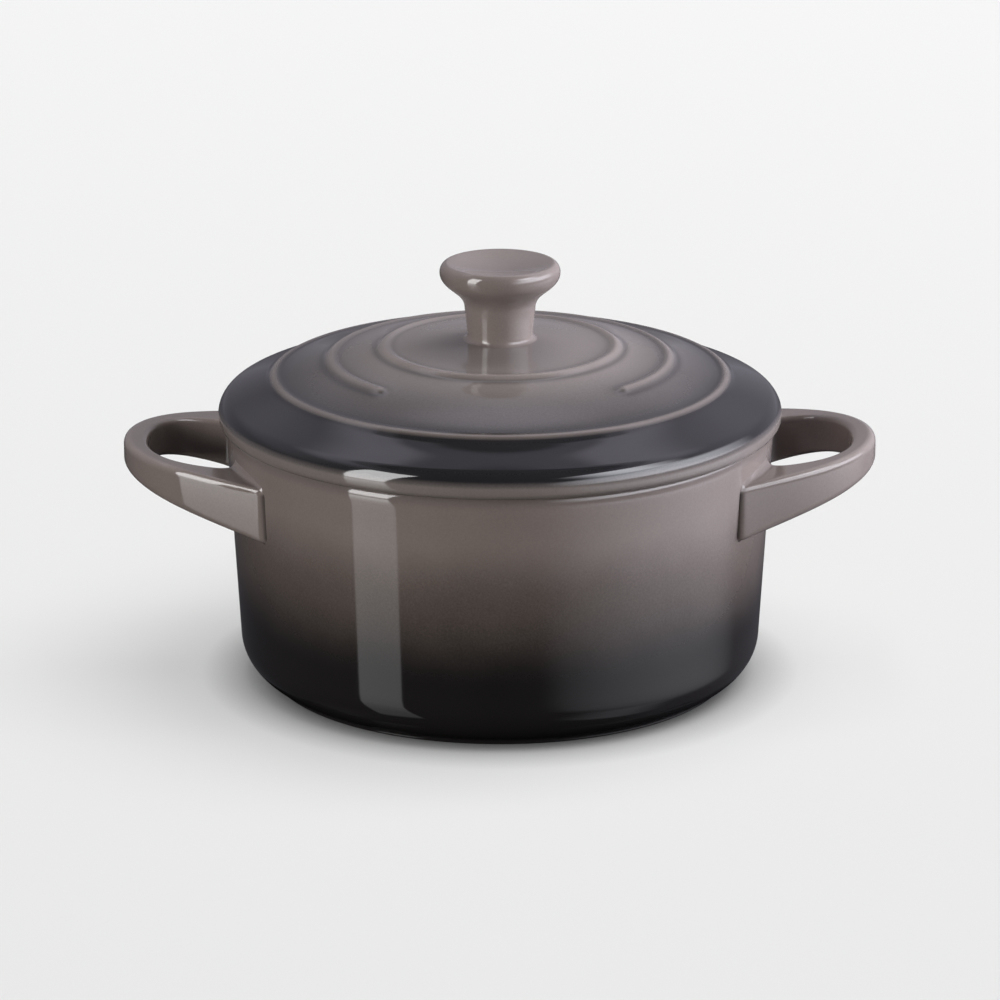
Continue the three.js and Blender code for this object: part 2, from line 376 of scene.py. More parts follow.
class CutLine:
    """The line where a thrown piece would be cut through its middle, spun into the whole piece."""

    rounding_segments = 7

    def __init__(self, runs: Sequence[Union[Corner, Bend]], longest_step: float) -> None:
        """Keep the line's corners and bends, and the longest step between its points."""
        self.runs = runs
        self.longest_step = longest_step

    def draw(self, bm: BMesh) -> None:
        """Draw the line as a wire of edges.

        Args:
            bm: The empty bmesh that takes the wire.
        """
        points: list[tuple[float, float, float]] = []
        for run in self.runs:
            if isinstance(run, Corner):
                points.append((run.radius, run.height, run.rounding))
                continue
            knots = [Vector((*pair, 0.0)) for pair in (points[-1][:2], run.first, run.second, run.end)]
            curve = interpolate_bezier(*knots, run.steps + 1)
            points.extend((point.x, point.y, 0.0) for point in curve[1:])
        verts = [bm.verts.new((radius, 0.0, height)) for radius, height, _ in points]
        for pair in zip(verts, verts[1:]):
            bm.edges.new(pair)
        for vert, point in zip(verts, points):
            if point[2]:
                bmesh.ops.bevel(
                    bm, geom=[vert], offset=point[2], offset_type="OFFSET",
                    segments=self.rounding_segments, profile=0.5, affect="VERTICES", material=-1)
        for edge in list(bm.edges):
            cuts = math.ceil(edge.calc_length() / self.longest_step) - 1
            if cuts > 0:
                bmesh.ops.subdivide_edges(bm, edges=[edge], cuts=cuts)

    def spin(self, bm: BMesh, steps: int) -> None:
        """Spin the line round the upright axis and close it.

        Args:
            bm: The empty bmesh that takes the piece.
            steps: How many steps the full turn has.
        """
        self.draw(bm)
        bmesh.ops.spin(
            bm, geom=list(bm.verts) + list(bm.edges), cent=(0.0, 0.0, 0.0), axis=(0.0, 0.0, 1.0),
            angle=math.tau, steps=steps, use_merge=True)
        bmesh.ops.remove_doubles(bm, verts=list(bm.verts), dist=MERGE_DISTANCE)
        bmesh.ops.recalc_face_normals(bm, faces=list(bm.faces))


def arc_pull(radius: float, turn: float) -> float:
    """Give how far a cubic curve pulls along its tangents to follow an arc that turns by some radians."""
    return radius * 4.0 / 3.0 * math.tan(turn / 4.0)


def straight(first: Vector, last: Vector, count: int) -> list[Vector]:
    """Give the points of a straight run."""
    return interpolate_bezier(
        first, first.lerp(last, STRAIGHT_PULL), last.lerp(first, STRAIGHT_PULL), last, count)


def turned(first: Vector, corner: Vector, last: Vector, pull: float, count: int) -> list[Vector]:
    """Give the points of a run that rounds off a corner, which pulls it by a share."""
    return interpolate_bezier(first, first.lerp(corner, pull), last.lerp(corner, pull), last, count)


def put(name: str, data: bpy.types.ID) -> Object:
    """Put a new object into the scene.

    Args:
        name: The object's name.
        data: Its mesh, lamp or camera.

    Returns:
        The object.
    """
    made = bpy.data.objects.new(name, data)
    bpy.context.scene.collection.objects.link(made)
    return made


def ease(value: float, low: float, high: float) -> float:
    """Rise smoothly from 0 at low to 1 at high."""
    share = min(max((value - low) / (high - low), 0.0), 1.0)
    return share * share * (3.0 - 2.0 * share)


def bell(offset: float, width: float) -> float:
    """Give a bell curve's height, 1 in the middle and 1/e at its width."""
    return math.exp(-(offset / width) ** 2)


class Ware:
    """What the fired pieces share: how a painted bmesh becomes a piece of the frame."""

    body = ""

    def fire(
        self, bm: BMesh, name: str, node: str, slot: str, finish: Material
    ) -> None:
        """Turn a bmesh into a dressed piece that stands for its node.

        Args:
            bm: The painted bmesh, which is freed.
            name: The piece's name.
            node: The node that it replaces.
            slot: The record's material slot; not used.
            finish: The piece's material.
        """
        for face in bm.faces:
            face.smooth = True
        mesh = bpy.data.meshes.new(name)
        bm.to_mesh(mesh)
        bm.free()
        mesh.materials.append(finish)
        piece = put(name, mesh)
        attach(piece, self.body)
        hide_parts(node)
        LOG.info("%s stands for %s with %d faces", name, node, len(mesh.polygons))

    @staticmethod
    def layers(bm: BMesh) -> dict[Layer, Any]:
        """Add the painted layers to a bmesh and give them by name."""
        return {layer: bm.verts.layers.float.new(layer.value) for layer in Layer}


class Thrown(Ware):
    """A piece that is spun from a cut line, with the names that it goes by."""

    name = ""
    node = ""
    slot = ""
    turn_steps: int

    def cut_line(self) -> CutLine:
        """Give the line that is spun."""
        raise NotImplementedError

    def paint(self, bm: BMesh) -> None:
        """Paint the piece's layers."""
        raise NotImplementedError

    def build(self, glaze: Glaze) -> None:
        """Spin, paint and fire the piece.

        Args:
            glaze: The piece's glaze.
        """
        bm = bmesh.new()
        self.cut_line().spin(bm, self.turn_steps)
        self.paint(bm)
        self.fire(bm, self.name, self.node, self.slot, glaze.material())


@dataclass
class Pot(Thrown):
    """The pot: its foot, wall, rim and floor."""

    height: float = 0.050
    rim_radius: float = 0.0522
    draft: float = math.radians(3.26)
    wall: float = 0.0052
    rim_drop: float = 0.0026
    rim_inset: float = 0.0009
    lip_rounding: float = 0.0013
    heel_radius: float = 0.0083
    floor_height: float = 0.0066
    inside_heel: float = 0.0075
    foot_inset: float = 0.0055
    foot_width: float = 0.0036
    foot_rise: float = 0.00035
    foot_recess: float = 0.0013
    foot_rounding: float = 0.0004
    bare_margin: float = 0.00048
    rim_thin_glaze_and_shadow: float = 0.35
    heel_steps: int = 14
    rim_steps: int = 12
    turn_steps: int = 240
    longest_step: float = 0.0014

    body = "pot"
    name = "pot_shell"
    node = "pot_body"
    slot = "pot_glaze"

    def wall_radius(self, height: float) -> float:
        """Give the outer wall's radius at a height."""
        return self.rim_radius - (self.height - height) * math.tan(self.draft)

    @property
    def foot_radius(self) -> float:
        """Give the foot ring's outer radius."""
        return self.wall_radius(self.foot_rise + self.heel_radius) - self.foot_inset

    def cut_line(self) -> CutLine:
        """Give the line through the pot's foot, wall, rim and floor.

        Returns:
            The line, from the underside's middle to the floor's middle.
        """
        heel_height = self.foot_rise + self.heel_radius
        heel_middle = self.wall_radius(heel_height) - self.heel_radius / math.cos(self.draft)
        foot_radius = self.foot_radius
        foot_inside = foot_radius - self.foot_width
        start = math.acos((foot_radius - heel_middle) / self.heel_radius)
        foot_top = heel_height - self.heel_radius * math.sin(start)
        tangent_height = heel_height - self.heel_radius * math.sin(self.draft)
        tangent_radius = heel_middle + self.heel_radius * math.cos(self.draft)
        pull = arc_pull(self.heel_radius, start - self.draft)
        inside_floor = self.wall_radius(self.floor_height) - self.wall
        bend_height = self.height - self.rim_drop
        bend_pull = bend_height + self.rim_drop * ROUND_PULL
        rim_top = self.rim_radius - self.rim_inset
        return CutLine([
            Corner(0.0, self.foot_recess),
            Corner(foot_inside, self.foot_recess, self.foot_rounding),
            Corner(foot_inside, 0.0, self.foot_rounding),
            Corner(foot_radius, 0.0, self.foot_rounding),
            Corner(foot_radius, foot_top),
            Bend(
                (foot_radius + pull * math.sin(start), foot_top + pull * math.cos(start)),
                (tangent_radius - pull * math.sin(self.draft),
                 tangent_height - pull * math.cos(self.draft)),
                (tangent_radius, tangent_height), self.heel_steps),
            Corner(self.wall_radius(bend_height), bend_height),
            Bend(
                (self.wall_radius(bend_pull), bend_pull),
                (rim_top + self.rim_inset * ROUND_PULL, self.height),
                (rim_top, self.height), self.rim_steps),
            Corner(self.rim_radius - self.wall, self.height, self.lip_rounding),
            Corner(inside_floor, self.floor_height, self.inside_heel),
            Corner(0.0, self.floor_height),
        ], self.longest_step)

    def paint(self, bm: BMesh) -> None:
        """Paint where the clay stays bare, where the inside is, where the rim's glaze thins on the inside and
        where a painted shadow of the lid's overhang darkens the rim's outside.

        Args:
            bm: The pot's bmesh.
        """
        layers = self.layers(bm)
        bare_from = self.foot_radius - self.foot_width
        bare_to = self.foot_radius - self.bare_margin
        for vert in bm.verts:
            radius = math.hypot(vert.co.x, vert.co.y)
            height = vert.co.z
            middle = self.wall_radius(height) - self.wall / 2.0
            on_foot = bare_from < radius < bare_to
            vert[layers[Layer.BARE]] = 1.0 if on_foot and height < MERGE_DISTANCE else 0.0
            if radius < middle and height > self.floor_height - MERGE_DISTANCE:
                vert[layers[Layer.INSIDE]] = 1.0
            # The rim's top thins to pale glaze inside; outside it is darkened as painted shadow under the
            # lid's edge.
            shade = self.rim_thin_glaze_and_shadow * ease(height, self.height - self.rim_drop, self.height)
            vert[layers[Layer.CREST_AND_SHADE]] = shade if radius < middle else -shade


class Side(Enum):
    """The two sides of the pot that carry a handle."""

    RIGHT = "right"
    LEFT = "left"


@dataclass
class Handle(Ware):
    """A loop handle: a strap that leaves the wall broad and deep, and narrows to a raised tip."""

    pot: Pot
    side: Side
    drop: float = 0.0058
    reach: float = 0.0195
    root_half_width: float = 0.0269
    root_step: float = 0.0006
    root_height: float = 0.0106
    tip_height: float = 0.0059
    tip_rise: float = 0.0033
    tip_thickness: float = 0.0046
    splay: float = math.radians(24.0)
    shoulder: Pair = (0.0606, 0.0195)
    shoulder_splay: float = math.radians(32.0)
    shoulder_pull: float = 0.0075
    tip_pull: float = 0.009
    corner_radius: float = 0.0009
    edge_rounding: float = 0.0012
    tip_rounding: float = 0.0017
    gap_rounding: float = 0.0011
    gap_half_width: float = 0.0151
    gap_root_half_width: float = 0.0128
    gap_spread: float = 0.0044
    gap_side_pull: float = 0.0093
    gap_tip_pull: float = 0.0093
    root_depth: float = 0.0024
    fillet: float = 0.0003
    top_fillet: float = 0.0018
    painted_shade_width: float = 0.0008
    crease_shade_share: float = 0.7
    edge_share: float = 0.55
    turn_pull: float = 0.6
    spread_pull: float = 0.67
    filled: Pair = (-0.001, 0.007)
    crowding: float = 1.6
    flank_points: int = 10
    turn_points: int = 9
    side_points: int = 30
    loop_points: int = 40
    spread_points: int = 14
    gap_points: int = 50
    half_stations: int = 84
    corner_points: int = 7
    flat_points: int = 10

    body = "pot"

    def on_wall(self, step: float, half_width: float) -> Vector:
        """Give the point in plan a step off the wall and a half width towards negative Y."""
        radius = self.pot.wall_radius(self.pot.height - self.drop - self.root_height / 2.0) + step
        return Vector((math.sqrt(radius ** 2 - half_width ** 2), -half_width, 0.0))

    def clearance(self, point: Vector) -> float:
        """Give how far a point is from the pot's wall."""
        return math.hypot(point.x, point.y) - self.pot.wall_radius(point.z)

    def outer_line(self) -> list[Vector]:
        """Give the strap's outer outline in plan, from inside the wall to the tip.

        Returns:
            The outline's points, on the side of negative Y.
        """
        corner = self.on_wall(self.root_step, self.root_half_width)
        outward = corner.normalized()
        along = Vector((math.cos(self.splay), math.sin(self.splay), 0.0))
        tip = Vector((self.pot.rim_radius + self.reach, 0.0, 0.0))
        buried = corner - outward * (self.root_step + self.root_depth)
        flank_end = corner - outward * self.corner_radius * 0.5
        start = corner + along * self.corner_radius
        flank = straight(buried, flank_end, self.flank_points)
        turn = turned(flank_end, corner, start, self.turn_pull, self.turn_points)
        shoulder = Vector((self.shoulder[0], -self.shoulder[1], 0.0))
        onward = Vector((math.cos(self.shoulder_splay), math.sin(self.shoulder_splay), 0.0))
        third = (shoulder - start).length / 3.0
        side = interpolate_bezier(
            start, start + along * third, shoulder - onward * third, shoulder, self.side_points)
        past_shoulder = shoulder + onward * self.shoulder_pull
        before_tip = Vector((tip.x, -self.tip_pull, 0.0))
        loop = interpolate_bezier(shoulder, past_shoulder, before_tip, tip, self.loop_points)
        return flank + turn[1:] + side[1:] + loop[1:]

    def inner_line(self) -> list[Vector]:
        """Give the finger gap's outline in plan, from inside the wall to the tip.

        Returns:
            The outline's points, on the side of negative Y.
        """
        root = self.on_wall(0.0, self.gap_root_half_width)
        bend = Vector((root.x + self.gap_spread, -self.gap_half_width, 0.0))
        shoulder = Vector(((root.x + bend.x) / 2.0, -self.gap_half_width, 0.0))
        tip = Vector((self.pot.rim_radius + self.reach - self.tip_thickness, 0.0, 0.0))
        entry = (root - shoulder).normalized()
        buried = root + entry * self.root_depth
        flank = straight(buried, root, self.flank_points)
        spread = turned(root, shoulder, bend, self.spread_pull, self.spread_points)
        past_bend = bend + Vector((self.gap_side_pull, 0.0, 0.0))
        before_tip = Vector((tip.x, -self.gap_tip_pull, 0.0))
        loop = interpolate_bezier(bend, past_bend, before_tip, tip, self.gap_points)
        return flank + spread[1:] + loop[1:]

    @staticmethod
    def even_points(line: Sequence[Vector], shares: Iterable[float]) -> list[Vector]:
        """Give the points of a line at given shares of its length.

        Args:
            line: The line's points.
            shares: Rising shares from 0 to 1.

        Returns:
            The points at those shares.
        """
        lengths = [0.0]
        for first, second in zip(line, line[1:]):
            lengths.append(lengths[-1] + (second - first).length)
        points = []
        place = 1
        for share in shares:
            goal = share * lengths[-1]
            while place < len(line) - 1 and lengths[place] < goal:
                place += 1
            step = lengths[place] - lengths[place - 1]
            points.append(line[place - 1].lerp(line[place], (goal - lengths[place - 1]) / step))
        return points

    def section(self, inner: Vector, outer: Vector) -> list[tuple[Vector, Vector]]:
        """Give the strap's section between two points of its plan.

        Args:
            inner: The point on the finger gap.
            outer: The point on the outer outline.

        Returns:
            The section's points, each with its direction away from the strap's middle.
        """
        root_x = math.sqrt(self.pot.rim_radius ** 2 - self.root_half_width ** 2)
        tip_x = self.pot.rim_radius + self.reach
        top = self.pot.height - self.drop
        bottom = top - self.root_height
        tip_top = top + self.tip_rise
        tip_bottom = tip_top - self.tip_height
        across = outer - inner
        width = across.length
        across.normalize()
        centre = inner.lerp(outer, 0.5)
        along = min(max((centre.x - root_x) / (tip_x - root_x), 0.0), 1.0)
        outer_reach = self.edge_rounding + (self.tip_rounding - self.edge_rounding) * along
        inner_reach = min(self.gap_rounding, width - outer_reach)
        points = []
        for side, flat, rise, level in self.section_outline():
            reach = outer_reach + (inner_reach - outer_reach) * (1.0 - side) / 2.0
            plan = centre + across * (side * (width / 2.0 - reach) + flat * reach)
            share = (plan.x - root_x) / (tip_x - root_x)
            upper = top + (tip_top - top) * share
            lower = bottom + (tip_bottom - bottom) * share
            middle = (upper + lower) / 2.0
            half = (upper - lower) / 2.0
            height = middle + level * (half - reach) + rise * reach
            away = across * flat + Vector((0.0, 0.0, rise))
            points.append((Vector((plan.x, plan.y, height)), away))
        return points

    def section_outline(self) -> list[tuple[float, float, float, float]]:
        """Give the spots round a section: four rounded corners, with the broad top and bottom divided.

        Returns:
            Each spot's side from 1 outside to -1 inside, its direction across and up, and 1 above or
            -1 below.
        """
        spots = []
        quarters = ((1.0, 1.0), (-1.0, 1.0), (-1.0, -1.0), (1.0, -1.0))
        for quarter, (side, level) in enumerate(quarters):
            for step in range(self.corner_points + 1):
                angle = math.radians(90.0) * (quarter + step / self.corner_points)
                spots.append((side, math.cos(angle), math.sin(angle), level))
            if side == level:
                for step in range(1, self.flat_points):
                    spots.append((side * (1.0 - 2.0 * step / self.flat_points), 0.0, level, level))
        return spots

    def flare(self, point: Vector, away: Vector) -> Vector:
        """Spread a point where the glaze fills the corner between the strap and the wall.

        Args:
            point: The section's point.
            away: Its direction away from the strap's middle.

        Returns:
            The moved point.
        """
        gap = self.clearance(point)
        spread = max(away.z, 0.0) ** 2 * ease(self.root_half_width - abs(point.y), *self.filled)
        fillet = self.fillet + (self.top_fillet - self.fillet) * spread
        if gap >= fillet:
            return point
        inset = fillet - max(gap, 0.0)
        return point + away * (fillet - math.sqrt(fillet ** 2 - inset ** 2))

    def stations(self) -> list[float]:
        """Give rising shares of the half strap's length, close together at the wall."""
        last = self.half_stations - 1
        return [(place / last) ** self.crowding for place in range(self.half_stations)]

    def loft(self, bm: BMesh) -> None:
        """Bridge the strap's sections from one root to the other and close its ends.

        Args:
            bm: The empty bmesh that takes the strap.
        """
        shares = self.stations()
        inner_points = self.even_points(self.inner_line(), shares)
        outer_points = self.even_points(self.outer_line(), shares)
        pairs = list(zip(inner_points, outer_points))
        flip = Vector((1.0, -1.0, 1.0))
        pairs += [(inner * flip, outer * flip) for inner, outer in reversed(pairs[:-1])]
        crest = bm.verts.layers.float.new(Layer.CREST_AND_SHADE.value)
        rings: list[list[bmesh.types.BMEdge]] = []
        for inner, outer in pairs:
            verts = []
            for point, away in self.section(inner, outer):
                vert = bm.verts.new(self.flare(point, away))
                # The crest layer takes the pale thin glaze on rounded edges, less the painted shade in the
                # crease at the wall.
                vert[crest] = self.edge_thinning(away) - self.crease_shade(point, away)
                verts.append(vert)
            rings.append([bm.edges.new(pair) for pair in zip(verts, verts[1:] + verts[:1])])
        for first, second in zip(rings, rings[1:]):
            bmesh.ops.bridge_loops(bm, edges=first + second)
        for ring in (rings[0], rings[-1]):
            bmesh.ops.contextual_create(bm, geom=ring)
        bmesh.ops.recalc_face_normals(bm, faces=list(bm.faces))

    def crease_shade(self, point: Vector, away: Vector) -> float:
        """Give the share of painted shade in the crease between the strap's sides and the wall."""
        near = 1.0 - ease(self.clearance(point), 0.0, self.painted_shade_width)
        return self.crease_shade_share * near * (1.0 - max(away.z, 0.0))

    def edge_thinning(self, away: Vector) -> float:
        """Give how thin the glaze is on a rounded edge, where the surface faces neither side nor up."""
        level = min(abs(away.z), 1.0)
        return self.edge_share * math.sin(2.0 * math.asin(level)) ** 2

    def build(self, glaze: Glaze) -> None:
        """Loft the handle, turn it to its side and fire it.

        Args:
            glaze: The handle's glaze.
        """
        bm = bmesh.new()
        self.loft(bm)
        if self.side is Side.LEFT:
            bmesh.ops.scale(bm, vec=(-1.0, -1.0, 1.0), verts=list(bm.verts))
        name = f"{self.side.value}_loop_handle"
        node = f"handle_{self.side.value}"
        self.fire(bm, name, node, "handle_glaze", glaze.material())


@dataclass(frozen=True)
class Ring:
    """A raised ring of the lid, with the half angle of its break at the front."""

    radius: float
    half_break: float = 0.0


@dataclass
class Lid(Thrown):
    """The lid: its ringed dome, rolled edge, hollow and locating flange."""

    seat: float = 0.050
    seat_gap: float = 0.00008
    radius: float = 0.0536
    edge_height: float = 0.0043
    edge_rounding: float = 0.0024
    lip_rounding: float = 0.0013
    dome_rise: float = 0.0118
    thickness: float = 0.005
    inside_rounding: float = 0.0025
    flange_depth: float = 0.0045
    flange_width: float = 0.004
    flange_radius: float = 0.0461
    flange_rounding: float = 0.001
    flange_taper: float = 0.0002
    seat_margin: float = 0.0004
    ring_width: float = 0.0034
    ring_height: float = 0.00043
    crest_width: float = 0.0008
    skirt_width: float = 0.0026
    skirt_height: float = 0.0003
    groove_shade_offset: float = 0.0017
    painted_shade_width: float = 0.0007
    crest_share: float = 0.60
    outer_shade_share: float = 0.50
    inner_shade_share: float = 0.22
    skirt_limit: float = 0.96
    rings: tuple[Ring, ...] = (Ring(0.0221), Ring(0.0322, math.radians(45.0)), Ring(0.04305))
    turn_steps: int = 240
    dome_steps: int = 220
    edge_steps: int = 12
    hollow_steps: int = 34
    longest_step: float = 0.0014

    body = "lid"
    name = "ringed_lid"
    node = "lid"
    slot = "lid_glaze"

    @property
    def dome_radius(self) -> float:
        """Give the dome's radius of curvature."""
        return (self.radius ** 2 + self.dome_rise ** 2) / (2.0 * self.dome_rise)

    @property
    def dome_centre(self) -> float:
        """Give the height of the dome's centre of curvature."""
        return self.seat + self.edge_height + self.dome_rise - self.dome_radius

    @property
    def flange_inside(self) -> float:
        """Give the flange's inner radius."""
        return self.flange_radius - self.flange_width

    def dome_height(self, radius: float, inset: float = 0.0) -> float:
        """Give the dome's height at a radius, or that of a surface inset below it."""
        return self.dome_centre + math.sqrt((self.dome_radius - inset) ** 2 - radius ** 2)

    def dome_bend(self, start: float, end: float, inset: float, steps: int) -> Bend:
        """Give a run along the dome between two radii.

        Args:
            start: The radius where the run starts.
            end: The radius where it ends.
            inset: How far the surface lies below the outer one.
            steps: The run's steps.

        Returns:
            The run.
        """
        curve = self.dome_radius - inset
        first = math.asin(start / curve)
        last = math.asin(end / curve)
        pull = arc_pull(curve, last - first)
        return Bend(
            (start + pull * math.cos(first), self.dome_height(start, inset) - pull * math.sin(first)),
            (end - pull * math.cos(last), self.dome_height(end, inset) + pull * math.sin(last)),
            (end, self.dome_height(end, inset)), steps)

    def cut_line(self) -> CutLine:
        """Give the line through the lid's dome, edge, seat, flange and hollow.

        Returns:
            The line, from the dome's top to the hollow's top.
        """
        seat = self.seat + self.seat_gap
        flange_inside = self.flange_inside
        flange_end = self.seat - self.flange_depth
        slope = math.asin(self.radius / self.dome_radius)
        edge_start = self.radius - self.edge_rounding * math.cos(slope)
        edge_pull = self.edge_rounding * CORNER_PULL
        edge_top = self.seat + self.edge_height
        return CutLine([
            Corner(0.0, self.dome_height(0.0)),
            self.dome_bend(0.0, edge_start, 0.0, self.dome_steps),
            Bend(
                (self.radius - edge_pull * math.cos(slope),
                 self.dome_height(self.radius) + edge_pull * math.sin(slope)),
                (self.radius, edge_top - edge_pull),
                (self.radius, edge_top - self.edge_rounding), self.edge_steps),
            Corner(self.radius, seat, self.lip_rounding),
            Corner(self.flange_radius, seat),
            Corner(self.flange_radius - self.flange_taper, flange_end, self.flange_rounding),
            Corner(flange_inside, flange_end, self.flange_rounding),
            Corner(flange_inside, self.dome_height(flange_inside, self.thickness), self.inside_rounding),
            self.dome_bend(flange_inside, 0.0, self.thickness, self.hollow_steps),
        ], self.longest_step)

    def ring_offset(self, place: Vector) -> float:
        """Give how far a place of the dome is from the nearest ring's crest, below 0 inside the ring.

        Args:
            place: A point of the dome.

        Returns:
            The signed distance.
        """
        radius = math.hypot(place.x, place.y)
        angle = abs(math.atan2(place.x, -place.y))
        offsets = []
        for ring in self.rings:
            beyond = max(ring.half_break - angle, 0.0) * ring.radius
            outward = radius - ring.radius
            offsets.append(math.copysign(math.hypot(outward, beyond), outward))
        return min(offsets, key=abs)

    def ring_lift(self, offset: float) -> float:
        """Give the bead's height at an offset from its crest, as a share of the ring's height."""
        return ease(1.0 - 2.0 * offset / self.ring_width, 0.0, 1.0)

    def paint(self, bm: BMesh) -> None:
        """Lift the rings out of the dome and paint the lid's layers, with painted shade in the grooves beside
        the rings.

        Args:
            bm: The lid's bmesh.
        """
        layers = self.layers(bm)
        hollow = self.flange_inside + self.flange_rounding
        seat_end = self.radius - self.lip_rounding
        for vert in bm.verts:
            radius = math.hypot(vert.co.x, vert.co.y)
            if vert.co.z > self.dome_height(min(radius, self.radius), self.thickness / 2.0):
                offset = self.ring_offset(vert.co)
                skirt = bell(offset, self.skirt_width) if radius < self.radius * self.skirt_limit else 0.0
                vert.co.z += self.ring_lift(abs(offset)) * self.ring_height + skirt * self.skirt_height
                # Painted shade darkens the grooves beside each ring, more on the outside; the crest itself is
                # pale thin glaze.
                outer_groove_shade = self.outer_shade_share * bell(offset - self.groove_shade_offset, self.painted_shade_width)
                inner_groove_shade = self.inner_shade_share * bell(offset + self.groove_shade_offset, self.painted_shade_width)
                crest = self.crest_share * bell(offset, self.crest_width)
                vert[layers[Layer.CREST_AND_SHADE]] = crest - outer_groove_shade - inner_groove_shade
                continue
            on_seat = hollow < radius < seat_end and vert.co.z < self.seat + self.seat_margin
            vert[layers[Layer.BARE]] = 1.0 if on_seat else 0.0
            vert[layers[Layer.INSIDE]] = 1.0 if radius < hollow else 0.0


@dataclass
class Knob(Thrown):
    """The lid's knob: a flared stem under a broad dished head."""

    lid: Lid
    height: float = 0.0148
    radius: float = 0.01145
    crown_height: float = 0.0018
    crest_inset: float = 0.0013
    crest_turn: float = 0.0010
    dish: float = 0.0013
    stem_radius: float = 0.0062
    stem_taper: float = 0.0005
    neck_height: float = 0.0059
    neck_pull: float = 0.0036
    head_pull: float = 0.0031
    flare_width: float = 0.0006
    flare_height: float = 0.0008
    root_depth: float = 0.0008
    root_lap: float = 0.0006
    root_step: float = 0.0001
    flare_end: float = 0.0003
    flare_pulls: Pair = (0.45, 0.35)
    dish_pull: float = 0.45
    crest_share: float = 0.3
    flare_steps: int = 10
    neck_steps: int = 22
    crown_steps: int = 12
    dish_steps: int = 20
    turn_steps: int = 128
    longest_step: float = 0.0009

    body = "lid"
    name = "turned_knob"
    node = "lid_knob"
    slot = "knob_glaze"

    @property
    def base(self) -> float:
        """Give the height where the stem's foot meets the dome."""
        return self.lid.dome_height(self.stem_radius + self.flare_width)

    def cut_line(self) -> CutLine:
        """Give the line through the knob's root, stem, head and dish.

        Returns:
            The line, from the root's middle to the dish's middle.
        """
        foot = self.stem_radius + self.flare_width
        lap = foot + self.root_lap
        base = self.base
        neck = self.stem_radius + self.stem_taper
        head = base + self.height - self.crown_height
        top = base + self.height
        crest = self.radius - self.crest_inset
        return CutLine([
            Corner(0.0, base - self.root_depth),
            Corner(lap, base - self.root_depth),
            Corner(lap, base - self.root_step),
            Bend(
                (foot - self.flare_width * self.flare_pulls[0], base + self.root_step),
                (self.stem_radius, base + self.flare_height * self.flare_pulls[1]),
                (self.stem_radius, base + self.flare_height + self.flare_end), self.flare_steps),
            Corner(neck, base + self.neck_height),
            Bend(
                (neck, base + self.neck_height + self.neck_pull),
                (self.radius, head - self.head_pull), (self.radius, head), self.neck_steps),
            Bend(
                (self.radius, top - self.crown_height * CORNER_PULL),
                (crest + self.crest_inset * CORNER_PULL, top), (crest, top), self.crown_steps),
            Bend(
                (crest - self.crest_turn, top),
                (crest * self.dish_pull, top - self.dish), (0.0, top - self.dish), self.dish_steps),
        ], self.longest_step)

    def paint(self, bm: BMesh) -> None:
        """Paint where the glaze thins on the crown.

        Args:
            bm: The knob's bmesh.
        """
        layers = self.layers(bm)
        top = self.base + self.height
        for vert in bm.verts:
            thinned = ease(vert.co.z, top - self.crown_height, top)
            vert[layers[Layer.CREST_AND_SHADE]] = self.crest_share * thinned


class Task(Enum):
    """What a lamp is hung for."""

    GLOSS = "shows in the glaze"
    BODY = "lights the ware"
    FLOOR = "lights the floor"


@dataclass(frozen=True)
class Softbox:
    """A soft studio lamp, placed by its bearing from the camera's side of the pot."""

    name: str
    task: Task
    bearing: float
    elevation: float
    distance: float
    width: float
    height: float
    radiance: float
    tint: Tint = Tint.PLAIN_LAMP
    side_fade: float = 0.10
    top_fade: float = 0.10
    bottom_fade: float = 0.10

    def make(self, floor: Object) -> None:
        """Hang the lamp and aim it at the pot.

        Args:
            floor: The floor, which only a floor lamp lights.
        """
        data = bpy.data.lights.new(self.name, "AREA")
        data.shape = "RECTANGLE"
        data.size = self.width
        data.size_y = self.height
        data.color = self.tint.value
        data.energy = self.radiance * math.pi * self.width * self.height
        data.use_nodes = True
        canvas = Canvas(data.node_tree)
        panel = canvas.node("NewGeometry", output="Parametric")
        across = canvas.axis(panel, "X")
        upward = across.sibling("Y")
        sides = across.ease(0.0, self.side_fade) * across.ease(1.0, 1.0 - self.side_fade)
        glow = sides * upward.ease(0.0, self.bottom_fade) * upward.ease(1.0, 1.0 - self.top_fade)
        light = canvas.node("Emission", None, {"Strength": glow})
        canvas.node("OutputLight", None, {"Surface": light})
        lamp = put(self.name, data)
        lamp.location = bearing_point(self.bearing, self.elevation, self.distance)
        lamp.rotation_euler = (Studio.aim - lamp.location).to_track_quat("-Z", "Y").to_euler()
        lamp.visible_glossy = self.task is Task.GLOSS
        lamp.visible_diffuse = self.task is not Task.GLOSS
        self.link(lamp, floor)

    def link(self, lamp: Object, floor: Object) -> None:
        """Let a floor lamp light the floor alone, and keep the ware's lamps off it.

        Args:
            lamp: The lamp.
            floor: The floor.
        """
        if self.task is Task.GLOSS:
            return
        lit = bpy.data.collections.new(f"{self.name}_reach")
        lit.objects.link(floor)
        lit.collection_objects[0].light_linking.link_state = (
            "INCLUDE" if self.task is Task.FLOOR else "EXCLUDE")
        lamp.light_linking.receiver_collection = lit


def bearing_point(bearing: float, elevation: float, distance: float) -> Vector:
    """Give a point round the pot by its bearing from the front, to the right, and its elevation.

    Args:
        bearing: Degrees to the right of the front.
        elevation: Degrees above the floor.
        distance: Metres from the pot's aim point.

    Returns:
        The point.
    """
    turn = math.radians(bearing)
    rise = math.radians(elevation)
    flat = math.cos(rise)
    heading = Vector((math.sin(turn) * flat, -math.cos(turn) * flat, math.sin(rise)))
    return Studio.aim + heading * distance


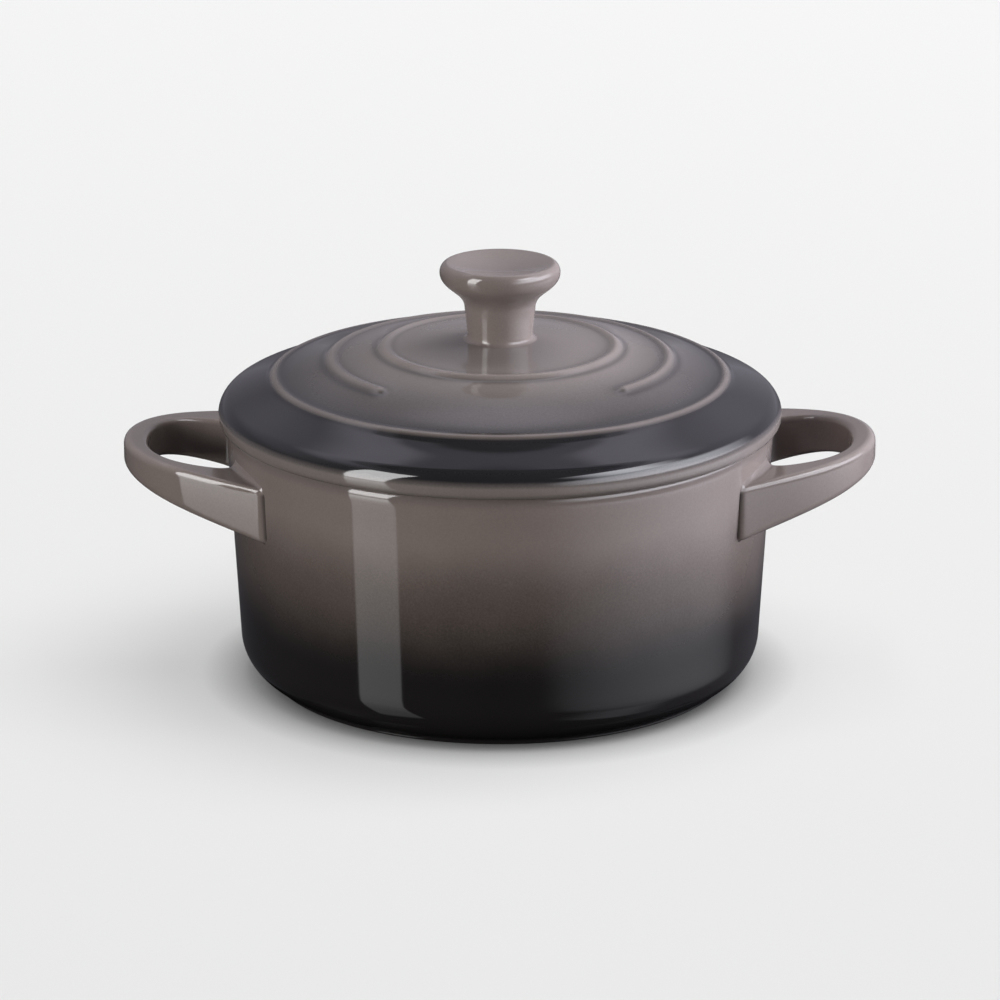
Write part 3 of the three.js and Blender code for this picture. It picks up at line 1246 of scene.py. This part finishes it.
@dataclass(frozen=True)
class RoomGlow:
    """How bright the room looks in the glaze. Each span runs from where a part starts to where it is full."""

    base: float = 0.18
    wide: float = 0.38
    right_gain: float = 0.30
    right_span: Pair = (-0.3, 0.5)
    upper_gain: float = 0.46
    upper_span: Pair = (0.27, 0.55)
    band_gain: float = 1.60
    band_foot: Pair = (0.66, 0.80)
    band_head: Pair = (0.868, 0.836)
    behind_span: Pair = (-0.5, 0.4)
    crown_span: Pair = (0.910, 0.888)

    def level(self, right: Signal, behind: Signal, height: Signal) -> Signal:
        """Give the room's level in a direction.

        Args:
            right: How far the direction points to the right.
            behind: How far it points behind the pot.
            height: How far it points up.

        Returns:
            The level.
        """
        sides = self.wide + self.right_gain * right.ease(*self.right_span)
        wide = sides + self.upper_gain * height.ease(*self.upper_span)
        band = height.ease(*self.band_foot) * height.ease(*self.band_head)
        shown = behind.ease(*self.behind_span) * height.ease(*self.crown_span)
        return self.base + (wide + self.band_gain * band) * shown


@dataclass
class Studio:
    """The pale floor, the room's soft light, the lamps and the camera."""

    camera_bearing: float = -0.9
    camera_elevation: float = 17.38
    camera_distance: float = 1.0
    focal_length: float = 187.92
    floor_size: float = 12.0
    floor_fade: float = 1.2
    floor_glow: float = 0.50
    contact_reach: float = 0.010
    contact_samples: int = 8
    polish: float = 0.03
    polish_index: float = 1.5
    floor_cells: int = 8
    room_strength: float = 0.48
    room_level: float = 0.42

    aim = Vector((0.0, 0.0, 0.03368))
    lamps = (
        Softbox(
            "right_softbox", Task.GLOSS, 71.0, 24.0, 3.0, 7.9, 2.0, 7.0, Tint.COOL_LAMP, 0.50, 0.30, 0.20),
        Softbox(
            "left_strip", Task.GLOSS, -55.5, 25.0, 2.0, 0.70, 2.0, 10.6, Tint.PLAIN_LAMP, 0.03, 0.10, 0.12),
        Softbox("key_panel", Task.BODY, 102.0, 11.0, 2.5, 2.4, 1.2, 23.4, Tint.COOL_LAMP),
        Softbox("front_fill", Task.BODY, -36.0, 10.0, 2.5, 1.6, 0.6, 16.6, Tint.WARM_LAMP),
        Softbox("top_fill", Task.BODY, 160.0, 62.0, 2.5, 2.0, 1.2, 6.0),
        Softbox(
            "right_crown", Task.GLOSS, 64.0, 46.0, 3.0, 3.0, 1.2, 9.0, Tint.COOL_LAMP, 0.50, 0.15, 0.30),
        Softbox("back_fill", Task.BODY, 190.0, 8.0, 2.5, 2.0, 1.0, 4.0),
        Softbox("floor_bank", Task.FLOOR, 90.0, 73.0, 3.0, 3.4, 3.4, 3.4),
    )

    def lay_floor(self) -> Object:
        """Lay the pale floor, which reflections see as dark polish.

        Returns:
            The floor.
        """
        bm = bmesh.new()
        cells = self.floor_cells
        bmesh.ops.create_grid(bm, x_segments=cells, y_segments=cells, size=self.floor_size / 2.0)
        mesh = bpy.data.meshes.new("floor")
        bm.to_mesh(mesh)
        bm.free()
        finish = bpy.data.materials.new("floor_paper")
        finish.use_nodes = True
        canvas = Canvas(finish.node_tree)
        depth = canvas.axis(canvas.place(), "Y")
        far = depth.ease(-self.floor_fade / 2.0, self.floor_fade)
        tint = canvas.blend(Tint.FLOOR_NEAR, Tint.FLOOR_FAR, far)
        path = canvas.node("LightPath", output="Is Camera Ray")
        shown = canvas.blend(Tint.BLACK, tint, path)
        paper = canvas.node("BsdfDiffuse", None, {"Color": shown})
        contact = canvas.node(
            "AmbientOcclusion", {"samples": self.contact_samples},
            {"Distance": self.contact_reach}, output="AO")
        glow = canvas.node("Emission", None, {"Color": shown, "Strength": contact})
        lit = canvas.node("MixShader", None, {0: self.floor_glow, 1: paper, 2: glow})
        polish = canvas.node("BsdfPrincipled", None, {
            "Base Color": (*Tint.BLACK.value, 1.0), "Roughness": self.polish, "IOR": self.polish_index})
        shader = canvas.node(
            "MixShader", None, {0: path.sibling("Is Glossy Ray"), 1: lit, 2: polish})
        canvas.node("OutputMaterial", None, {"Surface": shader})
        mesh.materials.append(finish)
        floor = put("floor", mesh)
        return floor

    def light_room(self) -> None:
        """Light the room evenly, shape it for the glaze's reflections and show the camera a backdrop."""
        world = bpy.data.worlds.new("room")
        world.use_nodes = True
        canvas = Canvas(world.node_tree)
        heading = canvas.node("TexCoord", output="Generated")
        behind = canvas.axis(heading, "Y")
        height = behind.sibling("Z")
        right = behind.sibling("X")
        level = RoomGlow().level(right, behind, height)
        path = canvas.node("LightPath", output="Is Camera Ray")
        mirrored = path.sibling("Is Glossy Ray")
        tint = canvas.blend(Tint.PLAIN_LAMP, Tint.ROOM, mirrored)
        strength = (self.room_level + (level - self.room_level) * mirrored) * self.room_strength
        room = canvas.node("Background", None, {"Color": tint, "Strength": strength})
        backdrop = canvas.node("Background", None, {"Color": (*Tint.BACKDROP.value, 1.0)})
        shader = canvas.node("MixShader", None, {0: path, 1: room, 2: backdrop})
        canvas.node("OutputWorld", None, {"Surface": shader})
        bpy.context.scene.world = world

    def set_camera(self) -> None:
        """Set the camera at the photograph's viewing angle."""
        data = bpy.data.cameras.new("camera")
        data.lens = self.focal_length
        data.clip_start = 0.01
        camera = put("camera", data)
        camera.location = bearing_point(self.camera_bearing, self.camera_elevation, self.camera_distance)
        camera.rotation_euler = (self.aim - camera.location).to_track_quat("-Z", "Y").to_euler()
        bpy.context.scene.camera = camera

    def build(self) -> None:
        """Set the whole studio up."""
        bpy.context.scene.view_settings.view_transform = "Standard"
        self.set_camera()
        floor = self.lay_floor()
        self.light_room()
        for lamp in self.lamps:
            lamp.make(floor)


def main() -> None:
    """Set the studio and build every piece."""
    logging.basicConfig(level=logging.INFO, format="%(message)s")
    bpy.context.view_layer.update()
    Studio().build()
    pot = Pot()
    pot.build(PotGlaze("ombre_pot_glaze"))
    for side in Side:
        Handle(pot, side).build(Glaze("taupe_handle_glaze"))
    lid = Lid()
    lid.build(LidGlaze("ombre_lid_glaze"))
    Knob(lid).build(Glaze("taupe_knob_glaze"))


if __name__ == "__main__":
    main()
